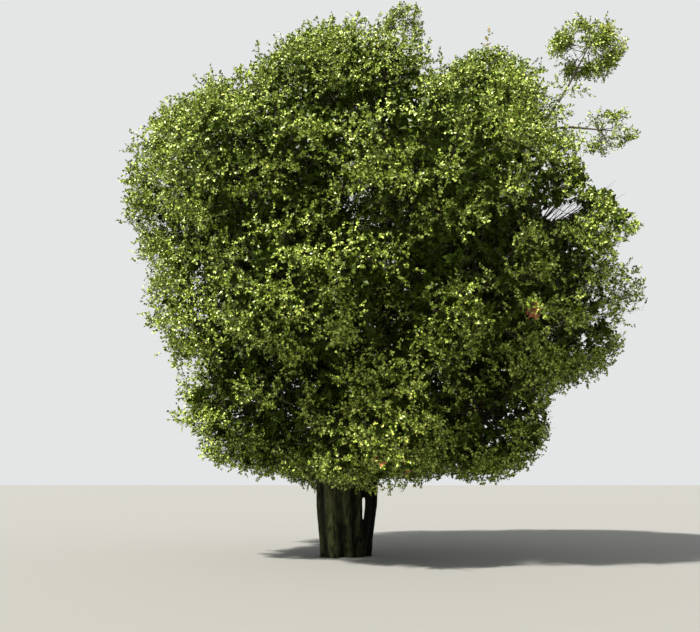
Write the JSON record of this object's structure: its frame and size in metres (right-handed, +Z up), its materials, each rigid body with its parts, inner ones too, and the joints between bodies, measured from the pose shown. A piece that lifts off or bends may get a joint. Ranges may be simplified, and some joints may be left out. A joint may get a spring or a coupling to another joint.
{
  "type": "hornbeam tree",
  "caption": "Whole hornbeam in full summer leaf: short fluted trunk of joined stems, steep rising boughs, and a broad dense rounded crown with open tufts at its upper edge.",
  "frame": {"origin": "middle of the flat cut under the trunk, at ground level", "axes": "+Z up; -Y towards the viewer of the picture; +X to that viewer's right"},
  "size_m": [12.6816, 11.7476, 13.1624],
  "materials": {
    "bark": "matt dark grey bark, furrowed and fluted, with paler grey-green flutes",
    "foliage": "satin mid-green leaves, yellow-green where they catch the light"
  },
  "bodies": {
    "root": {"trunk": "bark", "leader_left": "bark", "leader_right": "bark", "bough_skirt_1": "bark", "bough_skirt_2": "bark", "bough_skirt_3": "bark", "bough_skirt_4": "bark", "bough_skirt_5": "bark", "bough_lower_1": "bark", "bough_lower_2": "bark", "bough_lower_3": "bark", "bough_lower_4": "bark", "bough_lower_5": "bark", "bough_lower_6": "bark", "bough_lower_7": "bark", "bough_middle_1": "bark", "bough_middle_2": "bark", "bough_middle_3": "bark", "bough_middle_4": "bark", "bough_middle_5": "bark", "bough_middle_6": "bark", "bough_middle_7": "bark", "bough_upper_1": "bark", "bough_upper_2": "bark", "bough_upper_3": "bark", "bough_upper_4": "bark", "bough_upper_5": "bark", "bough_tuft_high_right": "bark", "bough_tuft_right": "bark", "bough_tuft_top": "bark", "foliage_skirt_1": "foliage", "foliage_skirt_2": "foliage", "foliage_skirt_3": "foliage", "foliage_skirt_4": "foliage", "foliage_skirt_5": "foliage", "foliage_lower_1": "foliage", "foliage_lower_2": "foliage", "foliage_lower_3": "foliage", "foliage_lower_4": "foliage", "foliage_lower_5": "foliage", "foliage_lower_6": "foliage", "foliage_lower_7": "foliage", "foliage_middle_1": "foliage", "foliage_middle_2": "foliage", "foliage_middle_3": "foliage", "foliage_middle_4": "foliage", "foliage_middle_5": "foliage", "foliage_middle_6": "foliage", "foliage_middle_7": "foliage", "foliage_upper_1": "foliage", "foliage_upper_2": "foliage", "foliage_upper_3": "foliage", "foliage_upper_4": "foliage", "foliage_upper_5": "foliage", "foliage_crest_left": "foliage", "foliage_crest_right": "foliage", "foliage_tuft_high_right": "foliage", "foliage_tuft_right": "foliage", "foliage_tuft_top": "foliage"}
  },
  "joints": []
}
